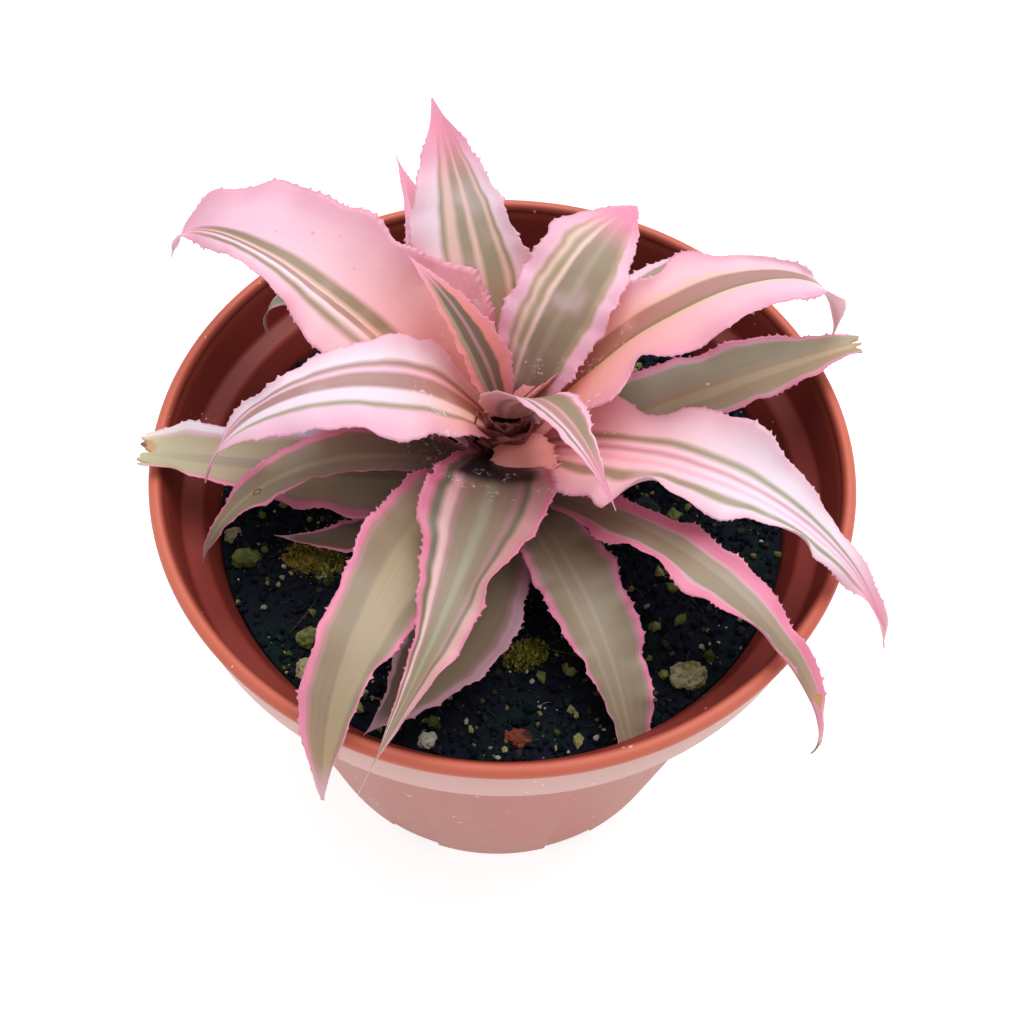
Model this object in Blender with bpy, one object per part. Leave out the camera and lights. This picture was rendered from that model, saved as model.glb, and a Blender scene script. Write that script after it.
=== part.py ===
"""Potted earth star: a striped Cryptanthus rosette in a round plastic nursery pot.

Metres, +Z up. The origin lies on the surface that the pot stands on, on the pot's axis.
The sizes below are in millimetres and degrees, and MM turns them into metres.
A heading is measured from +X, counter-clockwise seen from above, so -90 points to the front.
"""

from math import cos, hypot, pi, radians, sin

import bmesh
import bpy
import numpy as np
from mathutils import Matrix, Vector, noise

MM = 0.001

# --- driving dimensions -------------------------------------------------------------------

POT_TOP_RADIUS = 60.0
POT_BASE_RADIUS = 43.4
POT_HEIGHT = 93.0
WALL = 1.6
FLOOR = 2.0
BEAD_RADIUS = 1.2
LIP_BOTTOM = 80.0
LIP_RADIUS = 58.5
LEDGE_OUTER = (56.7, 82.4)
LEDGE_INNER = (53.2, 80.9)
LEDGE_STEP = 1.0
LEDGE_UNDERSIDE = 76.0
LIP_INSIDE = (57.3, 89.6)
LIP_LEAN = 0.5
BEAD_TUCK = 0.9
FOOT_EDGE = 1.2
FLOOR_CORNER = (1.6, 4.0)
FEET = 8
DRAIN_WIDTH = 11.0
DRAIN_HEIGHT = 3.6
DRAIN_DEPTH = 14.0
DRAIN_INSET = 2.0
POT_SIDES = 48

SOIL_LEVEL = 75.0
SOIL_FLOOR = 2.4
SOIL_RINGS = 9
SOIL_BUMP = 0.5
SOIL_CROWN = 0.8
SOIL_RADIUS = 52.0
SOIL_CORNER = (1.9, 4.3)
SOIL_SHOULDER = 1.0
CLOD_SIZES = (7.0, 3.0)
LUMP_RISE = 0.25
LUMP_UNEVEN = 0.14
LARGE_LUMP = 2.7

STEM_RADIUS = 3.4
STEM_FOOT = 66.0
STEM_SHOULDER = 93.0
STEM_TOP = 97.5
STEM_TIP_RADIUS = 1.0

GAP = 0.3
LEAF_THICKNESS = 0.8
LEAF_ROWS = 20
LEAF_STRIPS = 4
TIP_WIDTH = 0.7
PALE_WIDTH = 18.0
PALE_BASE = 95.0
PALE_LEAF = (0.66, 0.38, 0.40)
DARK_LEAF = (0.30, 0.27, 0.20)

# --- the leaves, youngest first -----------------------------------------------------------
# heading, base height, length and width; rise and fall are the slopes at the base and the
# tip, and bend says how late the leaf arches over. sweep turns the heading on the way out.
# widest and taper shape the outline, start is the distance of the base from the stem's axis,
# and keep is how much of a cut leaf is left. A wave is (waves along the edge, height, phase).

LEAVES = {
    "leaf_heart_roll": dict(heading=20, base=101, length=15, width=5, rise=55, fall=35, start=1.2),
    "leaf_heart_left": dict(heading=137, base=99, length=31, width=9, rise=70, fall=15, start=1.8),
    "leaf_heart_front": dict(
        heading=-60, base=99.3, length=40, width=9.5, rise=72, fall=-40, start=2.2, foot=0.6,
        widest=0.35, roll=-20,
    ),
    "leaf_upright_right": dict(
        heading=56, base=97, length=43, width=17, rise=63, fall=-8, start=3.0, widest=0.5,
        taper=0.9, roll=5, left_wave=(3, 0.6, 0.2), right_wave=(3, 0.6, 0.6),
    ),
    "leaf_left": dict(
        heading=190, base=96.5, length=61, width=17.5, rise=58, fall=-76, start=3.0, sweep=12,
        foot=0.4, widest=0.3, taper=1.9, left_wave=(2.5, 1.0, 0.2), right_wave=(2.5, 0.8, 0.5),
    ),
    "leaf_back_tall": dict(
        heading=105, base=95, length=52.5, width=22, rise=50, fall=42, sweep=12, foot=0.35,
        widest=0.45, roll=4, left_wave=(3, 0.6, 0.1), right_wave=(3, 0.6, 0.5),
    ),
    "leaf_right_upper": dict(
        heading=23, base=94, length=79, width=20, rise=49, fall=-94, bend=1.5, sweep=-2, foot=0.4,
        taper=2.0, roll=-10, left_wave=(3, 1.0, 0.3), right_wave=(3, 1.2, 0.8),
    ),
    "leaf_right": dict(
        heading=-21.5, base=91, length=79, width=22, rise=36, fall=-70, bend=1.5, sweep=-19,
        foot=0.4, widest=0.32, taper=1.7, left_wave=(2.5, 2.0, 0.0), right_wave=(3.7, 1.6, 0.9),
    ),
    "leaf_left_upper": dict(
        heading=156, base=92.5, length=76, width=24, rise=45, fall=-80, bend=2.3, sweep=-4,
        foot=0.4, widest=0.36, taper=1.7, roll=-9, cup=0.05, left_wave=(3.5, 1.2, 0.1),
        right_wave=(3.5, 1.8, 0.4),
    ),
    "leaf_front": dict(
        heading=266, base=92.5, length=72, width=19, rise=45, fall=-52, sweep=-34, foot=0.4,
        widest=0.24, taper=2.3, left_wave=(4, 1.0, 0.3), right_wave=(4, 0.8, 0.0),
    ),
    "leaf_back_slim": dict(heading=117, base=90.3, length=50, width=14, rise=40, fall=30),
    "leaf_back": dict(heading=75, base=89, length=47, width=17, rise=38, fall=-10, foot=0.4),
    "leaf_back_left": dict(
        heading=143.5, base=87.7, length=60, width=11, rise=27, fall=-100, bend=2.2, sweep=30,
        taper=1.5,
    ),
    "leaf_front_left": dict(
        heading=244, base=87, length=75, width=17, rise=33, fall=-70, bend=2.2, sweep=14, foot=0.4,
        roll=-10, left_wave=(4, 0.8, 0.0), right_wave=(4, 0.7, 0.4),
    ),
    "leaf_back_right": dict(heading=52, base=87.5, length=55, width=15, rise=28, fall=-16),
    "leaf_right_low": dict(
        heading=-45, base=85.3, length=80, width=9, rise=31.5, fall=-92, bend=2.1, sweep=3,
        foot=0.5, widest=0.5, taper=1.1, left_wave=(4, 0.8, 0.2), right_wave=(4, 0.9, 0.6),
    ),
    "leaf_left_dark": dict(
        heading=190, base=85, length=58, width=12, rise=26, fall=-70, bend=2.2, sweep=36,
        left_wave=(4, 0.6, 0.1), right_wave=(4, 0.6, 0.5),
    ),
    "leaf_right_cut": dict(
        heading=17, base=83.5, length=78, width=15, rise=24, fall=-4, keep=0.8,
        left_wave=(3, 0.8, 0.5), right_wave=(3, 1.0, 0.0),
    ),
    "leaf_front_right": dict(
        heading=297.5, base=81.7, length=53, width=14, rise=27, fall=-32, sweep=-8, foot=0.35,
        widest=0.45, taper=0.7, left_wave=(5, 0.7, 0.2), right_wave=(5, 0.7, 0.6),
    ),
    "leaf_left_cut": dict(
        heading=187, base=81.5, length=76, width=16, rise=7.5, fall=26, keep=0.76, roll=-6,
        left_wave=(4, 0.8, 0.2), right_wave=(3, 0.4, 0.3),
    ),
    "leaf_front_low": dict(
        heading=265, base=79.5, length=53, width=18, rise=11, fall=0, sweep=-44, foot=0.4,
        widest=0.55, left_wave=(3, 0.6, 0.2), right_wave=(3, 0.6, 0.6),
    ),
    "leaf_left_small": dict(heading=216.5, base=78, length=39, width=11, rise=8, fall=8, sweep=-42),
}

# --- what lies on the soil ----------------------------------------------------------------
# place (x, y), the three half sizes, a turn about the vertical, and how deep it sits.

LUMPS = {
    "pumice_large": dict(place=(32.0, -35.3), half=(3.5, 2.9, 2.6), turn=20, seed=1),
    "pumice_right": dict(place=(34.0, -7.5), half=(2.1, 1.8, 1.7), turn=70, seed=2),
    "pumice_right_small": dict(place=(31.0, -3.6), half=(1.5, 1.3, 1.2), turn=10, seed=3),
    "stone_grey": dict(place=(25.5, -2.5), half=(3.0, 2.4, 2.0), turn=-35, seed=4),
    "pumice_heart": dict(place=(13.0, -3.0), half=(1.8, 1.5, 1.4), turn=0, seed=5),
    "pumice_side": dict(place=(47.5, -2.0), half=(2.1, 1.7, 1.6), turn=25, seed=6),
    "pumice_behind": dict(place=(24.5, 29.0), half=(2.2, 1.9, 1.7), turn=60, seed=7),
    "pumice_back_left": dict(place=(-42.5, 22.5), half=(2.3, 2.1, 2.0), turn=40, seed=8),
    "pumice_left": dict(place=(-44.5, -15.5), half=(2.4, 1.9, 1.7), turn=5, seed=9),
    "pumice_left_small": dict(place=(-47.8, -10.5), half=(1.7, 1.4, 1.3), turn=80, seed=10),
    "pumice_front_left": dict(place=(-32.0, -30.5), half=(2.2, 1.9, 1.8), turn=15, seed=11),
    "pumice_edge_left": dict(place=(-31.5, -36.5), half=(2.1, 1.9, 1.8), turn=50, seed=12),
    "perlite_front": dict(place=(-11.0, -48.0), half=(1.5, 1.3, 1.3), turn=30, seed=13),
    "bark_chip": dict(place=(3.5, -47.0), half=(2.3, 1.6, 1.1), turn=-10, seed=14),
    "moss_left": dict(place=(-32.5, -15.5), half=(5.2, 3.2, 1.8), turn=-15, seed=15),
    "moss_front": dict(place=(4.5, -32.5), half=(3.6, 2.6, 1.4), turn=25, seed=16),
}

PUMICE = (0.42, 0.40, 0.24)
LUMP_COLOURS = {
    "stone_grey": (0.05, 0.06, 0.06),
    "perlite_front": (0.72, 0.70, 0.64),
    "bark_chip": (0.24, 0.09, 0.05),
    "moss_left": (0.22, 0.22, 0.05),
    "moss_front": (0.14, 0.17, 0.04),
}


def clear_scene():
    for thing in list(bpy.data.objects):
        bpy.data.objects.remove(thing, do_unlink=True)


def material(name, colour, roughness, metallic=0.0):
    made = bpy.data.materials.new(name)
    made.use_nodes = True
    shader = made.node_tree.nodes["Principled BSDF"]
    shader.inputs["Base Color"].default_value = (*colour, 1.0)
    shader.inputs["Roughness"].default_value = roughness
    shader.inputs["Metallic"].default_value = metallic
    made.diffuse_color = (*colour, 1.0)
    return made


def add_object(name, shape, finish, smooth_angle=40):
    """Turns a bmesh into a named object, shaded smooth up to smooth_angle."""
    bmesh.ops.recalc_face_normals(shape, faces=shape.faces)
    mesh = bpy.data.meshes.new(name)
    shape.to_mesh(mesh)
    shape.free()
    mesh.shade_smooth()
    mesh.set_sharp_from_angle(angle=radians(smooth_angle))
    mesh.materials.append(finish)
    made = bpy.data.objects.new(name, mesh)
    bpy.context.scene.collection.objects.link(made)
    return made


def arc(centre, radius, first, last, steps):
    """Points (r, z) on an arc, from the angle first to the angle last in degrees."""
    turns = [radians(first + (last - first) * i / steps) for i in range(steps + 1)]
    return [(centre[0] + radius * cos(t), centre[1] + radius * sin(t)) for t in turns]


def turned(profile, sides):
    """A closed solid turned about the vertical axis; profile is (r, z) from axis to axis."""
    shape = bmesh.new()
    rings = []
    for r, z in profile:
        if r < 1e-6:
            rings.append([shape.verts.new((0.0, 0.0, z * MM))])
            continue
        turns = [2 * pi * i / sides for i in range(sides)]
        rings.append([shape.verts.new((r * cos(t) * MM, r * sin(t) * MM, z * MM)) for t in turns])
    for lower, upper in zip(rings, rings[1:]):
        for i in range(sides):
            j = (i + 1) % sides
            corners = [lower[i % len(lower)], lower[j % len(lower)]]
            corners += [upper[j % len(upper)], upper[i % len(upper)]]
            shape.faces.new(list(dict.fromkeys(corners)))
    return shape


def cut(target, cutter):
    """Takes the hidden cutter away from target with an exact Boolean."""
    cutter.hide_render = True
    cutter.display_type = "WIRE"
    modifier = target.modifiers.new("cut " + cutter.name, "BOOLEAN")
    modifier.operation = "DIFFERENCE"
    modifier.solver = "EXACT"
    modifier.object = cutter


# --- pot ----------------------------------------------------------------------------------


def wall_inside(z):
    """Radius of the pot's inner face under the ledge, at the height z."""
    top_radius, top = LEDGE_INNER
    bottom_radius = POT_BASE_RADIUS - WALL
    return bottom_radius + (top_radius - LEDGE_STEP - bottom_radius) * z / top


def make_pot():
    """One moulding: flat floor, tapered wall, stacking ledge, lip band and a rolled rim."""
    bead_centre = (POT_TOP_RADIUS - BEAD_RADIUS, POT_HEIGHT - BEAD_RADIUS)
    wall_top = (LEDGE_INNER[0] + WALL, LIP_BOTTOM)
    corner_run, corner = FLOOR_CORNER
    profile = [(0.0, 0.0), (POT_BASE_RADIUS - FOOT_EDGE, 0.0), (POT_BASE_RADIUS, FOOT_EDGE), wall_top]
    profile += [(LIP_RADIUS, LIP_BOTTOM), (LIP_RADIUS + LIP_LEAN, bead_centre[1] - BEAD_TUCK)]
    profile += arc(bead_centre, BEAD_RADIUS, -30, 210, 8)
    profile += [LIP_INSIDE, LEDGE_OUTER, LEDGE_INNER]
    profile += [(wall_inside(LEDGE_UNDERSIDE), LEDGE_UNDERSIDE), (wall_inside(corner), corner)]
    profile += [(wall_inside(corner) - corner_run, FLOOR), (0.0, FLOOR)]
    finish = material("terracotta plastic", (0.52, 0.22, 0.15), 0.45)
    pot = add_object("pot", turned(profile, POT_SIDES), finish, smooth_angle=35)

    slots = bmesh.new()
    for i in range(FEET):
        turn = Matrix.Rotation(2 * pi * (i + 0.5) / FEET, 4, "Z")
        # The cutter reaches below the foot by the floor's thickness, so that the slot is open.
        middle = Vector(((POT_BASE_RADIUS - DRAIN_INSET) * MM, 0.0, (DRAIN_HEIGHT - FLOOR) / 2 * MM))
        size = Vector((DRAIN_DEPTH, DRAIN_WIDTH, DRAIN_HEIGHT + FLOOR)) * MM
        size = Matrix.Diagonal((*size, 1.0))
        bmesh.ops.create_cube(slots, size=1.0, matrix=turn @ Matrix.Translation(middle) @ size)
    cut(pot, add_object("drain_slots", slots, finish))
    return pot


# --- soil, stem and lumps -----------------------------------------------------------------


def soil_height(x, y):
    """Height of the soil at a place: nearly level, lower at the wall, with small clods."""
    r = hypot(x, y)
    swell = SOIL_CROWN * (1 - (r / SOIL_RADIUS) ** 2)
    large, small = CLOD_SIZES
    clods = noise.noise(Vector((x / large, y / large, 0.5)))
    clods += 0.5 * noise.noise(Vector((x / small, y / small, 4.5)))
    return SOIL_LEVEL + swell + SOIL_BUMP * clods


def make_soil():
    """The peat filling, a fraction inside the pot's wall, with a clodded top."""
    edge = wall_inside(SOIL_LEVEL) - GAP
    low = wall_inside(FLOOR_CORNER[1]) - GAP
    inner = STEM_RADIUS + GAP
    corner_run, corner = SOIL_CORNER
    profile = [(0.0, SOIL_FLOOR), (low - corner_run, SOIL_FLOOR), (low, corner)]
    profile += [(edge, SOIL_LEVEL - SOIL_SHOULDER)]
    profile += [(edge - (edge - inner) * i / SOIL_RINGS, SOIL_LEVEL) for i in range(SOIL_RINGS + 1)]
    profile += [(inner, STEM_FOOT - GAP), (0.0, STEM_FOOT - GAP)]
    shape = turned(profile, POT_SIDES)
    for corner in shape.verts:
        x, y, z = corner.co / MM
        if abs(z - SOIL_LEVEL) < 0.01:
            corner.co.z = soil_height(x, y) * MM
    return add_object("soil", shape, material("peat", (0.02, 0.016, 0.014), 0.95), 60)


def make_stem():
    """The short stem: its foot stands in a socket in the soil and the leaves leave it in turn."""
    profile = [(0.0, STEM_FOOT), (STEM_RADIUS, STEM_FOOT), (STEM_RADIUS, STEM_SHOULDER)]
    profile += [(STEM_TIP_RADIUS, STEM_TOP), (0.0, STEM_TOP)]
    return add_object("stem", turned(profile, 12), material("stem", (0.16, 0.07, 0.05), 0.8))


def lump_shape(half, turn, seed, place, grow=0.0):
    """An uneven pebble, half sunk in the soil; grow makes the seat that is cut for it."""
    finer = 3 if max(half) > LARGE_LUMP else 2
    shape = bmesh.new()
    bmesh.ops.create_icosphere(shape, subdivisions=finer, radius=1.0)
    spin = Matrix.Rotation(radians(turn), 3, "Z")
    x, y = place
    level = soil_height(x, y) + LUMP_RISE * half[2]
    for corner in shape.verts:
        way = corner.co.normalized()
        uneven = 1.0 + LUMP_UNEVEN * noise.noise(way * 1.6 + Vector((seed * 3.1, seed * 1.7, 0.0)))
        sized = Vector((way.x * half[0], way.y * half[1], way.z * half[2])) * uneven
        corner.co = (spin @ (sized + way * grow) + Vector((x, y, level))) * MM
    return shape


def make_lumps(soil):
    """Pumice, perlite, bark, a stone and moss, each in its own seat in the soil."""
    for name, lump in LUMPS.items():
        colour = LUMP_COLOURS.get(name, PUMICE)
        finish = material(name.replace("_", " "), colour, 0.9)
        add_object(name, lump_shape(**lump), finish)
        seat = add_object(name + "_seat", lump_shape(**lump, grow=GAP + 0.05), finish)
        cut(soil, seat)


# --- leaves -------------------------------------------------------------------------------


def outline(s, foot, widest, taper):
    """Half width along the leaf, 0 to 1: swells from the sheath, then runs out to the tip."""
    swell = foot + (1 - foot) * np.sin(pi / 2 * np.clip(s / widest, 0, 1))
    t = np.clip((s - widest) / (1 - widest), 0, 1)
    return np.where(s < widest, swell, np.cos(pi / 2 * t**0.9) ** taper)


def leaf_sheet(
    heading, base, length, width, rise, fall, bend=1.2, sweep=0.0, start=4.0, foot=0.5,
    widest=0.35, taper=1.3, keep=1.0, roll=0.0, cup=0.12, left_wave=(0, 0, 0),
    right_wave=(0, 0, 0),
):
    """Points and normals, in millimetres, of the middle surface of one leaf.

    s runs from the base to the tip and u from the right edge (-1) to the left edge (+1).
    The midrib's slope goes from rise to fall, the blade is cupped, and its edges wave.
    A roll above 0 lifts the left edge.
    """
    s = np.linspace(0.0, keep, LEAF_ROWS + 1)
    u = np.linspace(-1.0, 1.0, LEAF_STRIPS + 1)
    slope = np.radians(rise + (fall - rise) * s**bend)
    turn = np.radians(heading + sweep * s**1.5)
    ahead = np.stack([np.cos(slope) * np.cos(turn), np.cos(slope) * np.sin(turn), np.sin(slope)], -1)
    side = np.stack([-np.sin(turn), np.cos(turn), np.zeros_like(turn)], -1)
    up = np.cross(ahead, side)
    lean = radians(roll)
    side, normal = side * cos(lean) + up * sin(lean), up * cos(lean) - side * sin(lean)
    midrib = np.zeros_like(ahead)
    midrib[1:] = np.cumsum((ahead[1:] + ahead[:-1]) / 2 * (s[1] - s[0]) * length, axis=0)
    out = radians(heading)
    midrib += np.array([start * cos(out), start * sin(out), base])

    half = np.maximum(width / 2 * outline(s, foot, widest, taper), TIP_WIDTH / 2)
    ease = np.sin(pi * s) ** 0.6

    def edge(wave):
        count, height, phase = wave
        return height * np.sin(2 * pi * (count * s + phase)) * ease

    wave = np.where(u > 0, edge(left_wave)[:, None], edge(right_wave)[:, None]) * np.abs(u) ** 2.2
    lift = cup * 2 * half[:, None] * u**2 + wave
    points = midrib[:, None, :] + side[:, None, :] * (half[:, None] * u)[..., None]
    points = points + normal[:, None, :] * lift[..., None]
    return points, normal


def make_leaf(name, leaf):
    """A closed blade: the sheet's upper and lower faces, joined all round the edge."""
    sheet, normal = leaf_sheet(**leaf)
    offset = normal[:, None, :] * (LEAF_THICKNESS / 2)
    shape = bmesh.new()
    upper = [[shape.verts.new(p * MM) for p in row] for row in sheet + offset]
    lower = [[shape.verts.new(p * MM) for p in row] for row in sheet - offset]
    for i in range(LEAF_ROWS):
        for j in range(LEAF_STRIPS):
            shape.faces.new([upper[i][j], upper[i + 1][j], upper[i + 1][j + 1], upper[i][j + 1]])
            shape.faces.new([lower[i][j], lower[i][j + 1], lower[i + 1][j + 1], lower[i + 1][j]])
    around = [(i, 0) for i in range(LEAF_ROWS)]
    around += [(LEAF_ROWS, j) for j in range(LEAF_STRIPS)]
    around += [(i, LEAF_STRIPS) for i in range(LEAF_ROWS, 0, -1)]
    around += [(0, j) for j in range(LEAF_STRIPS, 0, -1)]
    for (i, j), (k, m) in zip(around, around[1:] + around[:1]):
        shape.faces.new([upper[i][j], upper[k][m], lower[k][m], lower[i][j]])
    pale = leaf["width"] > PALE_WIDTH or leaf["base"] > PALE_BASE
    colour = PALE_LEAF if pale else DARK_LEAF
    return add_object(name, shape, material(name.replace("_", " "), colour, 0.5))


def main():
    clear_scene()
    make_pot()
    soil = make_soil()
    make_stem()
    make_lumps(soil)
    for name, leaf in LEAVES.items():
        make_leaf(name, leaf)


main()
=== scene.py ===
# %% [markdown]
# # A potted earth star
# An earth star is a low rosette of stiff, wavy leaves with prickly pink edges. This one stands in a
# round nursery pot of damp peat. The imported CAD model gives the pot, the soil, the stem, the lumps
# and the leaves their places. Here each of them gets its fine shape and its finish.
# First the imported model is loaded.

# %% The imported model
from math import cos, pi, radians, sin

import bpy
import numpy as np
from mathutils import Matrix, Vector


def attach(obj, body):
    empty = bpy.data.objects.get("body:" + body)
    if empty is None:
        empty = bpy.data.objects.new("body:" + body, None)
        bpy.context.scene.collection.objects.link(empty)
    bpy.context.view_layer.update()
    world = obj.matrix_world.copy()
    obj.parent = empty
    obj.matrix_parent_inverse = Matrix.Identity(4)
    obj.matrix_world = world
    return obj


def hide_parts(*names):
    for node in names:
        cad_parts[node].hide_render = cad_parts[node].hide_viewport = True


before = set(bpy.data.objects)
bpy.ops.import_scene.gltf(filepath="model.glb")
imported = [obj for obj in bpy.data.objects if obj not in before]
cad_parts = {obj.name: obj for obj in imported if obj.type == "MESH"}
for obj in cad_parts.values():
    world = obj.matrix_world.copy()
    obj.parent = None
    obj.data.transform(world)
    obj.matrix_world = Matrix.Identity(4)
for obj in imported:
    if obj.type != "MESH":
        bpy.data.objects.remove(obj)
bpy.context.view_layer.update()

MM = 0.001
print("packed nodes:", len(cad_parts))

# %% [markdown]
# ## Grids
# Every new piece is a grid of points worked out as whole numpy arrays. A grid's columns can be
# joined into a tube, and its ends can be closed. One function turns points and faces into a mesh,
# with the marks (numbers on each point) that the finishes read.

# %% Grid helpers


def grid_faces(rows, columns, joined=False):
    """Quads of a grid of rows x columns points; joined closes the last column to the first."""
    last = columns if joined else columns - 1
    row, column = np.meshgrid(np.arange(rows - 1), np.arange(last), indexing="ij")
    after = (column + 1) % columns
    corners = [row * columns + column, row * columns + after]
    corners += [(row + 1) * columns + after, (row + 1) * columns + column]
    return np.stack(corners, -1).reshape(-1, 4)


def join(*values):
    """Arrays side by side in a last axis, such as x, y and z as points."""
    return np.stack(values, -1)


def triangles(quads):
    """Two triangles for each quad."""
    return np.concatenate([quads[:, [0, 1, 2]], quads[:, [0, 2, 3]]])


def piece(name, points, faces, finish, marks=None, smooth=True):
    """A mesh object from points in millimetres and faces of one size, with a value per mark."""
    mesh = bpy.data.meshes.new(name)
    faces = np.asarray(faces)
    count, corners = faces.shape
    mesh.vertices.add(len(points))
    mesh.vertices.foreach_set("co", (np.asarray(points) * MM).astype(np.float32).ravel())
    mesh.loops.add(count * corners)
    mesh.loops.foreach_set("vertex_index", faces.ravel().astype(np.int32))
    mesh.polygons.add(count)
    mesh.polygons.foreach_set("loop_start", np.arange(count, dtype=np.int32) * corners)
    mesh.update(calc_edges=True)
    mesh.validate()
    mesh.shade_smooth() if smooth else mesh.shade_flat()
    for mark, values in (marks or {}).items():
        layer = mesh.attributes.new(mark, "FLOAT", "POINT")
        layer.data.foreach_set("value", np.asarray(values, np.float32).ravel())
    mesh.materials.append(finish)
    made = bpy.data.objects.new(name, mesh)
    bpy.context.scene.collection.objects.link(made)
    return made


def dress(made, instead_of=None):
    """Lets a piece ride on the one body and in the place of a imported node."""
    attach(made, "root")
    if instead_of:
        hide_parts(instead_of)


def rough(points, cell, seed=0):
    """Smooth random value from -1 to 1: random numbers on a lattice of that cell, blended."""
    place = np.asarray(points) / cell + 31.7 * (seed + 1)
    low = np.floor(place).astype(np.int64)
    part = place - low
    part = part * part * (3 - 2 * part)
    total = 0.0
    for dx, dy, dz in np.ndindex(2, 2, 2):
        code = (low[..., 0] + dx) * 73856093 ^ (low[..., 1] + dy) * 19349663
        code = (code ^ (low[..., 2] + dz) * 83492791) * 2654435761
        value = ((code >> 13) & 0xFFFF) / 32767.5 - 1
        share = np.where(dx, part[..., 0], 1 - part[..., 0])
        share = share * np.where(dy, part[..., 1], 1 - part[..., 1])
        total = total + value * share * np.where(dz, part[..., 2], 1 - part[..., 2])
    return total


# %% [markdown]
# ## Finishes
# Colours are written as they look on a screen, from 0 to 255, and turned into the linear values
# that the shader wants. A few short helpers place nodes, mixes and ramps. A node goes into the
# tree of the nodes that it is joined to.

# %% Finish helpers
SOCKET = bpy.types.NodeSocket
GLOW_BY_COLOUR = (1.0, 0.45, 0.35)
GLOW_DEPTH = 0.003


def tint(red, green, blue):
    """Linear colour of a screen colour from 0 to 255."""
    share = np.array([red, green, blue]) / 255
    linear = np.where(share <= 0.04045, share / 12.92, ((share + 0.055) / 1.055) ** 2.4)
    return (*[float(v) for v in linear], 1.0)


def node(kind, inputs=None, tree=None, **settings):
    """A new node with its settings; an input takes a value or another node's output.

    Where no tree is given, the node goes into the tree of the outputs that it is joined to.
    """
    wires = {key: value for key, value in (inputs or {}).items() if isinstance(value, SOCKET)}
    tree = tree or next(iter(wires.values())).id_data
    made = tree.nodes.new(kind)
    for key, value in settings.items():
        setattr(made, key, value)
    for key, value in (inputs or {}).items():
        if key in wires:
            tree.links.new(value, made.inputs[key])
        else:
            made.inputs[key].default_value = value
    return made


def maths(operation, *values):
    """One Math node; its values are numbers or outputs."""
    return node("ShaderNodeMath", dict(enumerate(values)), operation=operation).outputs[0]


def times(first, second):
    """Product of two values."""
    return maths("MULTIPLY", first, second)


def mix(share, first, second, how="MIX"):
    """Colour from first to second as share goes from 0 to 1."""
    inputs = {0: share, 6: first, 7: second}
    return node("ShaderNodeMix", inputs, data_type="RGBA", blend_type=how).outputs[2]


def fade(value, start, end, low=0.0, high=1.0):
    """Smooth step of a value: low at start and before it, high at end and after it."""
    inputs = {0: value, 1: start, 2: end, 3: low, 4: high}
    return node("ShaderNodeMapRange", inputs, interpolation_type="SMOOTHSTEP").outputs[0]


def cloud(vector, scale, detail=3.0, roughness=0.5):
    """Noise from about 0.2 to 0.8 at that many cells per unit of the vector."""
    inputs = {"Vector": vector, "Scale": scale, "Detail": detail, "Roughness": roughness}
    return node("ShaderNodeTexNoise", inputs).outputs[0]


def vector(x, y, z):
    """Three values as one vector."""
    return node("ShaderNodeCombineXYZ", {"X": x, "Y": y, "Z": z}).outputs[0]


def mark(tree, name):
    """The value that each point of the piece carries under that name."""
    return node("ShaderNodeAttribute", tree=tree, attribute_name=name).outputs["Fac"]


def place(tree):
    """The place on the piece in metres."""
    return node("ShaderNodeTexCoord", tree=tree).outputs["Object"]


def ramp(value, stops):
    """Colour ramp through (position, colour) stops."""
    made = node("ShaderNodeValToRGB", {0: value})
    band = made.color_ramp
    band.elements[0].position, band.elements[0].color = stops[0]
    band.elements[1].position, band.elements[1].color = stops[-1]
    for position, colour in stops[1:-1]:
        band.elements.new(position).color = colour
    return made.outputs[0]


def settle(made, **values):
    """Sets inputs of a node; an underscore stands for a space in the input's name."""
    for key, value in values.items():
        made.inputs[key.replace("_", " ")].default_value = value


def finish(name, roughness=0.6, specular=0.5, subsurface=0.0):
    """An empty material; returns it with its tree and its Principled shader."""
    made = bpy.data.materials.new(name)
    made.use_nodes = True
    shader = made.node_tree.nodes["Principled BSDF"]
    settle(shader, Roughness=roughness, Specular_IOR_Level=specular, Subsurface_Weight=subsurface)
    if subsurface:
        settle(shader, Subsurface_Radius=GLOW_BY_COLOUR, Subsurface_Scale=GLOW_DEPTH)
    return made, made.node_tree, shader


def wire(tree, shader, colour, roughness, height, strength, depth):
    """Connects colour, roughness and a height (through a Bump, depth in millimetres)."""
    inputs = {"Strength": strength, "Distance": depth * MM, "Height": height}
    tree.links.new(colour, shader.inputs["Base Color"])
    if roughness is not None:
        tree.links.new(roughness, shader.inputs["Roughness"])
    tree.links.new(node("ShaderNodeBump", inputs).outputs[0], shader.inputs["Normal"])


# %% [markdown]
# ## The leaves' shapes
# The values below began as those of the CAD model, and some blades were set more finely since:
# heading and height of the base, length, width, and the slopes at the base and the tip. The same
# formulas are worked out on a much finer grid, which leaves room for what the plain solids lack:
# prickles along the edge, a thin edge on a thicker middle, lobes, and a finer ripple.

# %% Leaf table


def leaf(heading, base, length, width, rise, fall, **more):
    """The values of one blade by their names."""
    return dict(heading=heading, base=base, length=length, width=width, rise=rise, fall=fall, **more)


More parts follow.
